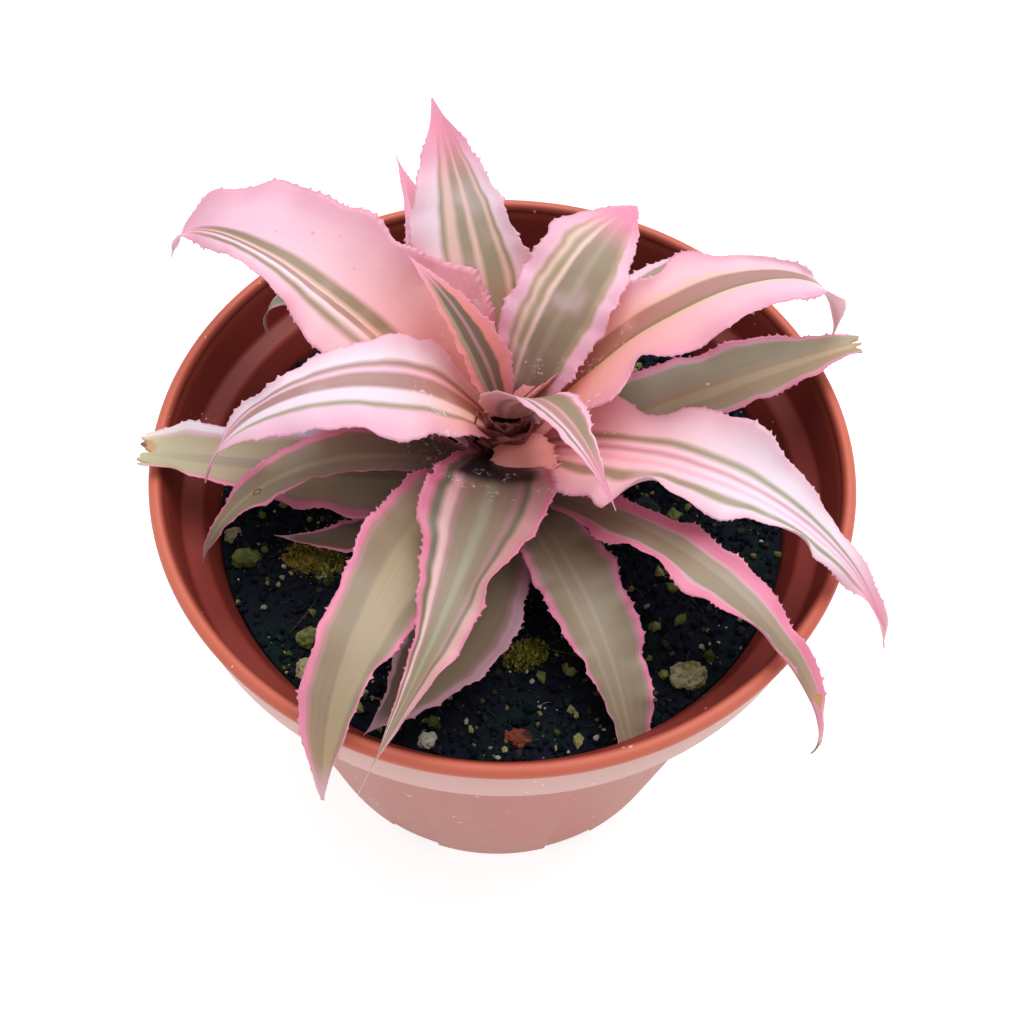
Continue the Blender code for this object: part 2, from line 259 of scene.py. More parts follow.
LEAVES = dict(
    heart_roll=leaf(31, 100.5, 13.5, 4.4, 32, 20, start=2.6, cup=0.3, roll=-28, foot=0.9, taper=0.9),
    heart_left=leaf(137, 99, 31, 9, 70, 15, start=1.8, left=[(0.4, 0.3, -1.4, 0)],
        right=[(0.22, 0.2, 0.9, 0)]),
    heart_front=leaf(-60, 101.5, 39, 11.5, 74, -40, start=2.2, foot=0.6, widest=0.35, roll=-22,
        left=[(0.75, 0.2, -0.8, 0)], right=[(0.1, 0.12, 1.6, 0)]),
    upright_right=leaf(56, 97, 43, 17, 63, -8, start=3.0, widest=0.5, taper=0.9, roll=5,
        waves=[(3, 0.6, 0.2), (3, 0.6, 0.6)], left=[(0.76, 0.14, 1.9, 0)]),
    left=leaf(190, 96.5, 61, 17.5, 58, -76, start=3.0, sweep=12, foot=0.4, widest=0.3, taper=1.9,
        waves=[(2.5, 1.0, 0.2), (2.5, 0.8, 0.5)], left=[(0.37, 0.1, 2.8, -1), (0.62, 0.22, 2.2, 0)],
        right=[(0.2, 0.07, 1.8, 0), (0.4, 0.04, -0.8, 0), (0.63, 0.08, -1.4, 0)]),
    back_tall=leaf(105, 93, 53.4, 22, 53, 42, sweep=12, start=4.6, foot=0.35, widest=0.45, roll=-2,
        waves=[(3, 0.6, 0.1), (3, 0.6, 0.5)], left=[(0.22, 0.15, -6.5, -3.2), (0.44, 0.1, -1.0, -1.6),
        (0.75, 0.2, 1.6, 0)], right=[(0.58, 0.15, -2.6, 0)]),
    right_upper=leaf(23.5, 94, 84, 20, 50, -108, bend=1.75, sweep=-5, foot=0.4, taper=1.9, roll=-10,
        waves=[(3, 1.0, 0.3), (3, 1.2, 0.8)], left=[(0.37, 0.06, -3.4, 0), (0.48, 0.05, 2.2, 0),
        (0.62, 0.14, -3.0, -0.4)], right=[(0.2, 0.05, 2.8, -0.4), (0.285, 0.035, -3.8, 0),
        (0.42, 0.08, 2.6, 0), (0.56, 0.07, 2.0, 0)]),
    right=leaf(-21.5, 91, 79, 22, 36, -70, bend=1.5, sweep=-19, foot=0.4, widest=0.32, taper=1.7,
        waves=[(2.5, 2.0, 0.0), (3.7, 1.6, 0.9)], left=[(0.13, 0.05, 1.6, 0.5), (0.28, 0.06, -2.2, -1),
        (0.55, 0.1, -1.4, 0)], right=[(0.18, 0.05, 2.0, 0.5), (0.27, 0.03, 2.2, 0),
        (0.36, 0.05, -2.4, 0.8), (0.56, 0.14, -2.0, 0)]),
    left_upper=leaf(156, 94.6, 75.5, 24, 43, -74, bend=2.3, sweep=-4, foot=0.4, widest=0.36, taper=1.7,
        roll=-9, cup=0.05, waves=[(3.5, 1.2, 0.1), (3.5, 1.4, 0.4)], left=[(0.55, 0.14, -2.6, 0)],
        right=[(0.2, 0.14, 4.6, 4.2), (0.38, 0.09, -2.2, 5.0), (0.48, 0.07, 1.6, 0.8),
        (0.66, 0.1, 4.2, 2.4), (0.8, 0.08, 1.6, 1.0)]),
    front=leaf(266, 92.5, 72, 19, 45, -52, sweep=-34, foot=0.3, widest=0.24, taper=2.3,
        waves=[(4, 1.0, 0.3), (4, 0.8, 0.0)], left=[(0.5, 0.06, -1.4, 0), (0.7, 0.12, 1.0, 0)],
        right=[(0.38, 0.08, 1.2, 0)]),
    back_slim=leaf(117, 90.3, 50, 14, 40, 30),
    back=leaf(75, 89, 47, 17, 38, -10, foot=0.4),
    back_left=leaf(143.5, 87.7, 61, 10, 41, -112, bend=2.6, sweep=30, taper=1.1),
    front_left=leaf(244, 87, 73.5, 17, 33, -70, bend=2.2, sweep=14, foot=0.4, roll=-10,
        waves=[(4, 0.8, 0.0), (4, 0.7, 0.4)], left=[(0.72, 0.12, -1.2, 0)], right=[(0.8, 0.14, 3.0, 0)]),
    back_right=leaf(52, 87.5, 55, 15, 28, -16),
    right_low=leaf(-41.5, 81.5, 84, 8.4, 33, -100, bend=2.4, sweep=-9, foot=0.5, widest=0.5, taper=1.1,
        waves=[(4, 0.8, 0.2), (4, 0.9, 0.6)], left=[(0.42, 0.06, 1.0, 0), (0.6, 0.05, 0.8, 0)],
        right=[(0.3, 0.05, 1.2, 0), (0.5, 0.05, 1.0, 0), (0.76, 0.15, -2.2, 0)]),
    left_dark=leaf(190, 85, 58, 12, 26, -70, bend=2.2, sweep=36, waves=[(4, 0.6, 0.1), (4, 0.6, 0.5)],
        left=[(0.4, 0.2, -2.4, 0)]),
    right_cut=leaf(17, 83.5, 78, 15, 24, -4, keep=0.8, waves=[(3, 0.8, 0.5), (3, 1.0, 0.0)],
        right=[(0.3, 0.08, -1.6, 0)]),
    front_right=leaf(297.5, 81.7, 57, 13.5, 27, -46, sweep=-12, foot=0.35, widest=0.45, taper=0.5,
        waves=[(5, 0.7, 0.2), (5, 0.7, 0.6)], right=[(0.78, 0.2, -2.0, 0)]),
    left_cut=leaf(187, 81.5, 76, 16, 7.5, 26, keep=0.76, roll=-6, waves=[(4, 0.8, 0.2), (3, 0.4, 0.3)],
        left=[(0.25, 0.1, 2.6, 0), (0.37, 0.03, -1.0, 0), (0.64, 0.1, -2.0, 0)],
        right=[(0.68, 0.08, 1.4, 0.3)]),
    front_low=leaf(265, 79.5, 53, 18, 11, 0, sweep=-44, foot=0.4, widest=0.55, waves=[(3, 0.6, 0.2),
        (3, 0.6, 0.6)]),
    left_small=leaf(216.5, 78, 39, 11, 8, 8, sweep=-42),
)

# %% Leaf blade
TIP_WIDTH = 0.7
THICK = 0.8
TOOTH_STEP = 1.25
TOOTH = 0.6
WANDER = 0.22
RAGGED = 1.3
HALF_COLUMNS = np.array([0.0, 0.12, 0.26, 0.4, 0.53, 0.65, 0.76, 0.86, 0.94, 1.0])
COLUMNS = np.concatenate([-HALF_COLUMNS[:0:-1], HALF_COLUMNS])
# A prickle's height at the four rows of each step, for the left and the right edge.
PRICKLE_ROWS = np.array([0.0, 0.32, 0.45, 0.78])
LEFT_PRICKLE = np.array([0.05, 0.25, 1.0, 0.05])
RIGHT_PRICKLE = np.array([1.0, 0.08, 0.0, 0.25])


def outline(s, foot, widest, taper):
    """Half width along the leaf, 0 to 1: swells from the sheath, then runs out to the tip."""
    swell = foot + (1 - foot) * np.sin(pi / 2 * np.clip(s / widest, 0, 1))
    t = np.clip((s - widest) / (1 - widest), 0, 1)
    return np.where(s < widest, swell, np.cos(pi / 2 * t**0.9) ** taper)


def blade_rows(length, keep, seed):
    """Places along the leaf, four for each prickle step of uneven length, and their kind."""
    chance = np.random.default_rng(seed)
    steps = chance.uniform(0.5, 1.5, int(length * keep / TOOTH_STEP) + 9) * TOOTH_STEP / length
    starts = np.concatenate([[0.0], np.cumsum(steps)])[:-1]
    s = (starts[:, None] + steps[:, None] * PRICKLE_ROWS).ravel()
    sizes = np.repeat(chance.uniform(0.0, 1.0, (len(steps), 2)) ** 1.4, 4, axis=0)
    kept = s < keep
    s, sizes = np.append(s[kept], keep), np.append(sizes[kept], [[0, 0]], axis=0)
    kind = np.append(np.arange(kept.sum()) % 4, 0)
    return s, LEFT_PRICKLE[kind] * sizes[:, 0], RIGHT_PRICKLE[kind] * sizes[:, 1]


def blade_sheet(
    s, heading, base, length, width, rise, fall, bend=1.2, sweep=0.0, start=4.0, foot=0.5,
    widest=0.35, taper=1.3, keep=1.0, roll=0.0, cup=0.12, waves=((0, 0, 0), (0, 0, 0)),
    left=(), right=(),
):
    """Middle surface of a leaf, its normals and its half width.

    The slope goes from rise to fall as s to the power bend and the heading turns by sweep.
    The midrib adds up short straight steps. Across it the blade is cupped (u squared), and at
    the edges a sine wave lifts and lowers it: waves has one (count, height, phase) for the
    left and one for the right. roll leans the whole blade sideways. left and right are the
    lobes of the two edges: each (place, length, widening, lift) is a bell curve along the
    leaf that widens the blade and lifts its edge. start is how far from the axis the base is.
    """
    u = COLUMNS
    slope = np.radians(rise + (fall - rise) * s**bend)
    turn = np.radians(heading + sweep * s**1.5)
    ahead = join(np.cos(slope) * np.cos(turn), np.cos(slope) * np.sin(turn), np.sin(slope))
    side = join(-np.sin(turn), np.cos(turn), np.zeros_like(turn))
    up = np.cross(ahead, side)
    lean = radians(roll)
    side, normal = side * cos(lean) + up * sin(lean), up * cos(lean) - side * sin(lean)
    midrib = np.zeros_like(ahead)
    midrib[1:] = np.cumsum((ahead[1:] + ahead[:-1]) / 2 * np.diff(s)[:, None] * length, axis=0)
    out = radians(heading)
    midrib += np.array([start * cos(out), start * sin(out), base])
    half = np.maximum(width / 2 * outline(s, foot, widest, taper), TIP_WIDTH / 2 * (1.2 - s))
    ease = np.sin(pi * np.clip(s, 0, 1)) ** 0.6

    def edge(wave):
        count, height, phase = wave
        ripple = 0.3 * np.sin(2 * pi * (2.7 * count * s + 2 * phase))
        return height * (np.sin(2 * pi * (count * s + phase)) + ripple) * ease

    def wander(first):
        """Uneven in and out of an edge: three sine waves that never fall in step."""
        waves = [np.sin(first + 2 * pi * count * s) / k for k, count in ((1, 5.3), (1.3, 9.7), (2, 17))]
        return WANDER * sum(waves) * np.clip(half / 4, 0.1, 1)

    def bells(lobes, value):
        """Sum of the lobes' bell curves, each times its widening (2) or its lift (3)."""
        total = np.zeros_like(s)
        for lobe in lobes:
            total = total + lobe[value] * np.exp(-(((s - lobe[0]) / lobe[1]) ** 2))
        return total

    edges = [(bells(lobes, 2) + wander(first), bells(lobes, 3) + edge(wave))
             for lobes, first, wave in ((left, base, waves[0]), (right, heading, waves[1]))]
    wider, wave = [np.where(u > 0, at_left[:, None], at_right[:, None])
                   for at_left, at_right in zip(*edges)]
    wider, wave = wider * np.abs(u) * u, wave * np.abs(u) ** 2.2
    lift = cup * 2 * half[:, None] * u**2 + wave
    points = midrib[:, None] + side[:, None] * (half[:, None] * u + wider)[..., None]
    return points + normal[:, None] * lift[..., None], normal, half


def blade(name, shape, skin, seed):
    """A closed leaf: upper and lower sheet of one grid joined at the edges and both ends."""
    keep = shape.get("keep", 1.0)
    s, left, right = blade_rows(shape["length"], keep, seed)
    sheet, normal, half = blade_sheet(s, **shape)
    for column, inner, teeth in ((-1, -2, left), (0, 1, right)):
        outward = sheet[:, column] - sheet[:, inner]
        outward /= np.linalg.norm(outward, axis=-1, keepdims=True)
        teeth = teeth * TOOTH * np.clip(half / 2.5, 0.15, 1)
        sheet[:, column] += outward * teeth[:, None]
    if keep < 1:
        ahead = sheet[-1] - sheet[-2]
        ahead /= np.linalg.norm(ahead, axis=-1, keepdims=True)
        tear = np.random.default_rng(seed + 50).uniform(-1, 1, len(COLUMNS))
        near = np.clip((s - keep) * shape["length"] / 4 + 1, 0, 1)
        sheet = sheet + (RAGGED * near[:, None] * tear)[..., None] * ahead
    body = THICK / 2 * (1 - 0.8 * np.abs(COLUMNS) ** 3)[None, :]
    body = body * np.clip(half / 3, 0.3, 1)[:, None]
    top = sheet + normal[:, None] * body[..., None]
    low = sheet - normal[:, None] * body[..., None]
    rows, columns = top.shape[:2]
    loop = np.concatenate([top, low[:, ::-1]], axis=1)
    faces = grid_faces(rows, 2 * columns, joined=True)
    first = np.arange(columns - 1)
    cap = join(first, 2 * columns - 1 - first, 2 * columns - 2 - first, first + 1)
    end = (rows - 1) * 2 * columns + cap[:, ::-1]
    faces = np.concatenate([faces[:, ::-1], cap[:, ::-1], end[:, ::-1]])
    marks = {"across": np.concatenate([COLUMNS, COLUMNS[::-1]]), "along": s[:, None],
             "under": np.repeat([0.0, 1.0], columns)}
    marks = {mark: np.broadcast_to(values, loop.shape[:2]) for mark, values in marks.items()}
    return piece(name, loop.reshape(-1, 3), faces, skin, marks)


print("points across a blade:", len(COLUMNS))

# %% [markdown]
# ## The leaves' skin
# The stripes of an earth star run with the veins, from the base to the tip, so they are a ramp of
# colours across the blade. A shared group then adds the fine streaks of the veins, a wash of
# paler and deeper places, the tinted base and tip, a painted shadow in the middle of the blade near
# its base, the bright prickly edge, the duller underside and the white scurf near the base. On the
# darker leaves the tinted base is partly their own darker base and partly painted shade low in the
# rosette.

# %% Leaf skin group
SCREEN_COLOURS = dict(
    rose=(244, 134, 166), pink=(255, 202, 222), blush=(255, 226, 240), salmon=(240, 146, 138),
    cream=(240, 206, 196), mauve=(180, 140, 136), taupe=(166, 150, 128), sage=(164, 160, 134),
    moss=(118, 118, 92), olive=(153, 136, 112), tan=(174, 156, 126), sand=(192, 176, 142),
    umber=(118, 100, 84), plum=(64, 38, 44), sheath=(112, 52, 54), lime=(200, 206, 164),
    lilac=(220, 166, 182), straw=(190, 150, 100), brown=(122, 84, 56), scurf=(245, 235, 232),
    dot=(248, 176, 196), hot=(246, 148, 178), dusty=(218, 164, 160), petal=(242, 196, 194),
    # ink is the near-black of a painted shadow deep in the heart of the rosette.
    ink=(12, 9, 15),
)
COLOURS = {name: tint(*screen) for name, screen in SCREEN_COLOURS.items()}
# These multiply what lies under them, so they are shares of red, green and blue.
COLOURS.update(
    warmth=(0.99, 0.6, 0.38, 1.0), coral=(0.97, 0.46, 0.40, 1.0),
    # shade darkens the base of the darker leaves: partly their own darker base, partly painted shade low
    # in the rosette.
    shade=(0.30, 0.19, 0.24, 1.0), dusk=(0.55, 0.42, 0.40, 1.0),
)


COLOUR_SOCKET, VALUE_SOCKET = "NodeSocketColor", "NodeSocketFloat"
TISSUE_INPUTS = {
    "Stripes": COLOURS["pink"], "Base": COLOURS["warmth"], "Base reach": 0.2, "Base share": 0.7,
    "Tip": COLOURS["rose"], "Tip reach": 0.1, "Edge": COLOURS["rose"], "Veins": 20.0, "Flush": 0.0,
    "Under": COLOURS["mauve"], "Trough": 0.0, "Scurf": 0.0, "Wash": 0.35, "Grain": 0.3,
}
TISSUE_OUTPUTS = {"Colour": COLOUR_SOCKET, "Roughness": VALUE_SOCKET, "Height": VALUE_SOCKET}


def leaf_tissue():
    """The group that every leaf's finish shares."""
    tree = bpy.data.node_groups.new("leaf tissue", "ShaderNodeTree")
    for label, default in TISSUE_INPUTS.items():
        kind = COLOUR_SOCKET if isinstance(default, tuple) else VALUE_SOCKET
        tree.interface.new_socket(label, socket_type=kind).default_value = default
    for label, kind in TISSUE_OUTPUTS.items():
        tree.interface.new_socket(label, in_out="OUTPUT", socket_type=kind)
    given = tree.nodes.new("NodeGroupInput").outputs
    across, along, under = mark(tree, "across"), mark(tree, "along"), mark(tree, "under")
    streak = cloud(vector(times(across, given["Veins"]), times(along, 3.0), 0.0), 1.0, 3.0, 0.6)
    wash = cloud(place(tree), 90.0, 2.0)
    dark = maths("MULTIPLY_ADD", maths("SUBTRACT", streak, 0.5), given["Grain"], 1.0)
    colour = mix(1.0, given["Stripes"], dark, "MULTIPLY")
    pale_share = times(fade(wash, 0.5, 0.75), given["Wash"])
    colour = mix(pale_share, colour, COLOURS["blush"])
    at_base = times(given["Base share"],
                    fade(maths("DIVIDE", along, given["Base reach"]), 1.0, 0.0))
    side = maths("ABSOLUTE", across)
    colour = mix(at_base, colour, given["Base"], "MULTIPLY")
    # Painted shadow: the middle of the blade near its base turns near black, for the deep shade in the
    # hollow where the leaf leaves the stem.
    trough = times(fade(along, 0.24, 0.18), fade(side, 0.85, 0.6))
    colour = mix(times(trough, given["Trough"]), colour, COLOURS["ink"])
    flush = times(fade(side, 0.55, 1.0), given["Flush"])
    colour = mix(flush, colour, given["Edge"])
    from_tip = maths("DIVIDE", maths("SUBTRACT", 1.0, along), given["Tip reach"])
    colour = mix(fade(from_tip, 1.0, 0.2), colour, given["Tip"])
    colour = mix(fade(side, 0.94, 1.0, 0.0, 0.6), colour, given["Edge"])
    colour = mix(times(under, 0.55), colour, given["Under"])
    flecks = cloud(place(tree), 1400.0, 2.0, 0.7)
    patches = cloud(place(tree), 220.0, 2.0)
    near = fade(maths("ABSOLUTE", maths("SUBTRACT", along, 0.2)), 0.12, 0.04)
    scurf = times(fade(flecks, 0.58, 0.64), fade(patches, 0.5, 0.6))
    scurf = times(times(scurf, near), given["Scurf"])
    colour = mix(scurf, colour, COLOURS["scurf"])
    roughness = maths("MULTIPLY_ADD", streak, 0.25, 0.32)
    node("NodeGroupOutput", {"Colour": colour, "Roughness": roughness, "Height": streak})
    return tree


TISSUE = leaf_tissue()
SOFT = 0.05


def leaf_skin(name, kind, bands, spots=(), **values):
    """Finish of one leaf; bands are colours and the places across the blade between them.

    kind holds the values that leaves of one kind share, and the leaf's own go over them. A spot is
    (along, across, the blade's length and half width in millimetres, radius, colour).
    """
    made, tree, shader = finish(name, subsurface=0.3)
    across, along = mark(tree, "across"), mark(tree, "along")
    drift = cloud(vector(across, times(along, 5.0), len(name) * 1.7), 1.5, 2.0)
    share = maths("MULTIPLY_ADD", maths("MULTIPLY_ADD", drift, 0.08, across), 0.5, 0.48)
    words = bands.split()
    colours, ends = [COLOURS[word] for word in words[::2]], [float(word) for word in words[1::2]]
    stops = [(0.0, colours[0])]
    for end, before, after in zip(ends, colours, colours[1:]):
        middle = end / 2 + 0.5
        stops += [(middle - SOFT / 2, before), (middle + SOFT / 2, after)]
    stops.append((1.0, colours[-1]))
    inputs = {"Stripes": ramp(share, stops)}
    for key, value in dict(kind, **values).items():
        label = key.replace("_", " ").capitalize()
        inputs[label] = COLOURS[value] if isinstance(value, str) else value
    result = node("ShaderNodeGroup", inputs, node_tree=TISSUE).outputs
    colour = result["Colour"]
    for spot_along, spot_across, length, half, radius, ink in spots:
        ahead = times(maths("SUBTRACT", along, spot_along), length)
        aside = times(maths("SUBTRACT", across, spot_across), half)
        away = maths("SQRT", maths("ADD", times(ahead, ahead), times(aside, aside)))
        colour = mix(fade(away, radius, radius * 0.7), colour, COLOURS[ink])
    wire(tree, shader, colour, result["Roughness"], result["Height"], 0.2, 0.12)
    return made


# %% Leaf looks
PALE = dict(base="warmth", base_reach=0.7, base_share=1.0, tip="hot", tip_reach=0.3, edge="hot",
            flush=0.4, under="pink", wash=0.4, grain=0.12)
# The darker leaves' base is multiplied by shade: partly their own darker base, partly painted shade deep
# among the leaves.
DARK = dict(base="shade", base_reach=0.35, base_share=0.9, tip="lilac", edge="rose", wash=0.0)


def look(kind, bands, **values):
    """The values of one leaf's finish by their names."""
    return dict(kind=kind, bands=bands, **values)


LOOKS = dict(
    heart_roll=look(PALE, "sheath -0.6 salmon 0.1 sheath 0.3 salmon", base="dusk", base_share=0.5,
        under="salmon", veins=8),
    heart_left=look(PALE, "salmon -0.55 umber -0.25 mauve -0.1 umber 0.22 taupe 0.5 salmon",
        base="dusk", base_share=0.6, veins=12),
    heart_front=look(PALE,
        "pink -0.62 olive -0.44 pink -0.26 mauve 0.06 dusty 0.2 olive 0.72 mauve 0.8 pink", base="dusk",
        base_reach=0.3, under="mauve", veins=12),
    upright_right=look(PALE, "pink -0.69 tan -0.54 olive -0.13 taupe 0.02 olive 0.3 "
        "cream 0.37 tan 0.53 cream 0.63 tan 0.73 pink", base="dusk", base_reach=0.6, base_share=0.9,
        veins=26, scurf=0.5),
    left=look(PALE, "blush -0.56 mauve -0.42 pink -0.31 mauve 0.06 blush 0.38 sage 0.5 pink",
        base_reach=0.4, veins=24, scurf=0.8),
    back_tall=look(PALE,
        "blush -0.6 sage -0.52 cream -0.42 sage -0.1 cream -0.02 sage 0.2 cream 0.4 sage 0.5 blush",
        veins=24),
    right_upper=look(PALE, "pink -0.22 cream -0.17 olive -0.1 mauve 0.3 cream 0.36 pink",
        base_reach=0.7, flush=0.7, veins=24, scurf=0.9),
    right=look(PALE,
        "blush -0.58 sage -0.38 blush -0.2 pink -0.14 blush 0.0 lilac 0.08 blush 0.2 sage 0.34 blush",
        base="coral", base_reach=0.62, veins=26, scurf=0.3),
    left_upper=look(PALE, "pink -0.05 olive 0.16 cream 0.24 mauve 0.27 blush 0.4 olive 0.54 pink",
        flush=0.6, veins=30, scurf=0.4, spots=((0.55, -0.5, 76, 11, 0.4, "dot"),
        (0.5, -0.62, 76, 12, 0.3, "dot"), (0.44, -0.35, 76, 12, 0.4, "dot"),
        (0.62, -0.3, 76, 10, 0.25, "dot"))),
    front=look(DARK, "rose -0.84 moss -0.68 petal -0.5 mauve -0.42 olive -0.12 sage 0.08 "
        "olive 0.4 mauve 0.52 moss 0.64 dusty 0.9 rose", base_reach=0.75, base_share=0.85, trough=1.0,
        veins=24, scurf=0.35),
    back_slim=look(PALE, "salmon -0.4 taupe 0.4 pink", veins=16),
    back=look(PALE, "pink -0.5 taupe 0.5 pink", veins=18),
    back_left=look(DARK, "mauve -0.7 umber 0.7 mauve", veins=14),
    front_left=look(DARK, "rose -0.86 mauve -0.8 olive -0.35 tan 0.5 olive 0.8 mauve 0.86 rose",
        base_reach=0.45, veins=26),
    back_right=look(DARK, "pink -0.6 taupe 0.6 pink", veins=16),
    right_low=look(DARK, "rose -0.68 lilac -0.6 olive 0.1 taupe 0.5 lilac 0.6 rose", base="dusk",
        tip="rose", tip_reach=0.25, veins=18, spots=((1.0, 0.0, 84, 4, 7.0, "brown"),
        (0.83, 0.3, 84, 3, 1.6, "straw"))),
    left_dark=look(DARK, "rose -0.76 olive -0.1 tan 0.1 olive 0.84 rose", base_reach=0.5, veins=18,
        scurf=0.6, spots=((0.7, 0.1, 58, 5, 0.9, "brown"), (0.7, 0.1, 58, 5, 0.5, "straw"))),
    right_cut=look(DARK, "rose -0.9 lilac -0.82 tan -0.3 sand 0.0 tan 0.2 sage 0.84 lilac 0.9 rose",
        base_share=0.3, tip="straw", tip_reach=0.23, veins=22, spots=((0.45, 0.1, 78, 7, 0.4, "cream"),)),
    front_right=look(DARK,
        "rose -0.84 mauve -0.76 olive -0.36 taupe -0.26 olive 0.02 taupe 0.1 olive 0.8 mauve 0.86 rose",
        base_reach=0.3, veins=24),
    left_cut=look(DARK, "blush -0.8 lilac -0.72 tan -0.2 olive 0.1 tan 0.72 mauve 0.8 rose",
        base_reach=0.5, tip="lime", tip_reach=0.42, veins=22, spots=((0.22, 0.45, 76, 8, 0.9, "moss"),
        (0.76, -0.4, 76, 7, 2.2, "straw"), (0.765, -0.5, 76, 7, 1.2, "brown"))),
    front_low=look(DARK, "lilac -0.84 umber 0.1 olive 0.7 mauve 0.78 lilac", base_reach=0.5, veins=24),
    left_small=look(DARK, "rose -0.8 umber 0.8 rose", base_reach=0.5, veins=14),
)

# %% Leaves
for order, (name, shape) in enumerate(LEAVES.items()):
    packed = "leaf_" + name
    skin = leaf_skin(packed + " skin", **LOOKS[name])
    dress(blade("blade_" + name, shape, skin, order), packed)
print("leaves:", len(LEAVES))

# %% [markdown]
# ## The heart
# Where the leaves leave the stem, their sheaths overlap like the scales of a bud. They are short,
# broad blades that wrap the stem, ribbed and dark, and one pale fold of a sheath lies open at the
# front. The stem itself is a turned piece with the rings of old leaf scars (made after the pot).

# %% Sheaths
SHEATHS = dict(
    scale_left=leaf(-140, 90, 12, 11, 84, 62, start=3.2),
    scale_right=leaf(-62, 91, 10, 11, 82, 58, start=3.4),
    scale_far_left=leaf(170, 89, 11, 11, 72, 40, start=4.4),
    scale_low=leaf(-100, 86, 9, 12, 70, 35, start=4.4),
    scale_low_right=leaf(-20, 85, 9, 12, 60, 30, start=4.6),
    scale_back=leaf(80, 92, 9, 10, 75, 50, start=3.0),
    front=leaf(-92, 91, 10, 11, 97, 72, start=3.7, cup=0.5),
    front_left=leaf(-135, 92, 9, 9, 98, 75, start=3.5, cup=0.5),
    front_right=leaf(-50, 92, 9, 9, 98, 75, start=3.5, cup=0.5),
    fold=leaf(-66, 98.2, 12, 10.5, 5, -20, start=4.0, foot=0.7, cup=-0.1, keep=0.74, roll=4,
        waves=[(1.5, 0.4, 0.2), (1.5, 0.4, 0.7)], right=[(0.6, 0.15, 1.2, 0)]),
)
SHEATH_SHAPE = dict(foot=0.9, widest=0.3, taper=0.6, cup=0.35)
SCALE = leaf_skin("sheath skin", DARK, "salmon -0.75 plum -0.6 sheath -0.4 plum -0.28 sheath -0.1 "
                  "plum 0.02 sheath 0.2 plum 0.32 sheath 0.52 plum 0.7 sheath", base="dusk",
                  base_reach=0.9, base_share=0.8, tip="sheath", edge="sheath", under="sheath",
                  flush=0.0, veins=10)
FOLD = leaf_skin("fold skin", PALE, "salmon", base="dusk", base_reach=0.3, wash=0.1, tip="salmon",
                 edge="salmon", veins=9)
for order, (name, values) in enumerate(SHEATHS.items()):
    shape, skin = dict(SHEATH_SHAPE, **values), FOLD if name == "fold" else SCALE
    dress(blade("sheath_" + name, shape, skin, 70 + order))
print("sheaths:", len(SHEATHS))

# %% [markdown]
# ## The pot
# A nursery pot is one thin moulding: a tapered wall, a lip band that is a little wider, a ledge
# inside on which pots stack, and a rolled rim. Its half section is carried round the axis. The
# drain slots are cut with a Boolean, and the result is kept as a plain mesh. The outside has a
# pale bloom of lime and dust. The inside has the deep colour of the bare plastic, mottled with a
# still darker tone that is painted shade inside the pot. A dark line in the groove under the rim
# is painted shade as well.

# %% Pot shape
POT_TOP_RADIUS, POT_BASE_RADIUS, POT_HEIGHT = 60.0, 43.4, 93.0
WALL, FLOOR, BEAD_RADIUS = 1.6, 2.0, 1.2
LIP_BOTTOM, LIP_RADIUS, GROOVE = 80.0, 58.5, 89.7
LEDGE_OUTER, LEDGE_INNER = (56.7, 82.4), (53.2, 80.9)
WALL_SLOPE = 0.146
FEET, DRAIN_WIDTH, DRAIN_HEIGHT, DRAIN_DEPTH = 8, 11.0, 3.6, 14.0
POT_SIDES = 240


def wall_inside(z):
    """Radius of the pot's inner face under the ledge, at the height z."""
    top_radius, top = LEDGE_INNER
    bottom_radius = POT_BASE_RADIUS - WALL
    return bottom_radius + (top_radius - 1.0 - bottom_radius) * z / top


def arc(centre, radius, first, last, steps):
    """Points (r, z) of an arc, from the angle first to the angle last in degrees."""
    turn = np.radians(np.linspace(first, last, steps + 1))
    return join(centre[0] + radius * np.cos(turn), centre[1] + radius * np.sin(turn))


def rounded(corners, radius, steps=4):
    """The section with its inner corners rounded: each is a quadratic curve between cuts."""
    corners = np.array(corners, float)
    before, after = corners[:-2] - corners[1:-1], corners[2:] - corners[1:-1]
    reach = [np.linalg.norm(way, axis=1, keepdims=True) for way in (before, after)]
    cut = np.minimum(radius, np.minimum(reach[0], reach[1]) * 0.45)
    start, end = corners[1:-1] + before / reach[0] * cut, corners[1:-1] + after / reach[1] * cut
    t = np.linspace(0, 1, steps + 1)[:, None]
    bend = [(1 - t) ** 2 * a + 2 * t * (1 - t) * m + t**2 * b
            for a, m, b in zip(start, corners[1:-1], end)]
    return np.concatenate([corners[:1], *bend, corners[-1:]])


def lathe(section, sides):
    """Points and triangles of a section (r, z) turned about the axis, from pole to pole."""
    turn = np.linspace(0, 2 * pi, sides, endpoint=False)
    ring = join(np.cos(turn), np.sin(turn))
    r, z = section[1:-1, 0, None, None], section[1:-1, 1, None, None]
    walls = np.concatenate([r * ring, np.broadcast_to(z, (len(r), sides, 1))], -1)
    poles = [[0, 0, section[0, 1]], [0, 0, section[-1, 1]]]
    points = np.concatenate([walls.reshape(-1, 3), poles])
    first = np.arange(sides)
    after, last = (first + 1) % sides, (len(r) - 1) * sides
    start = join(np.full(sides, len(points) - 2), after, first)
    end = join(np.full(sides, len(points) - 1), last + first, last + after)
    return points, np.concatenate([triangles(grid_faces(len(r), sides, joined=True)), start, end])


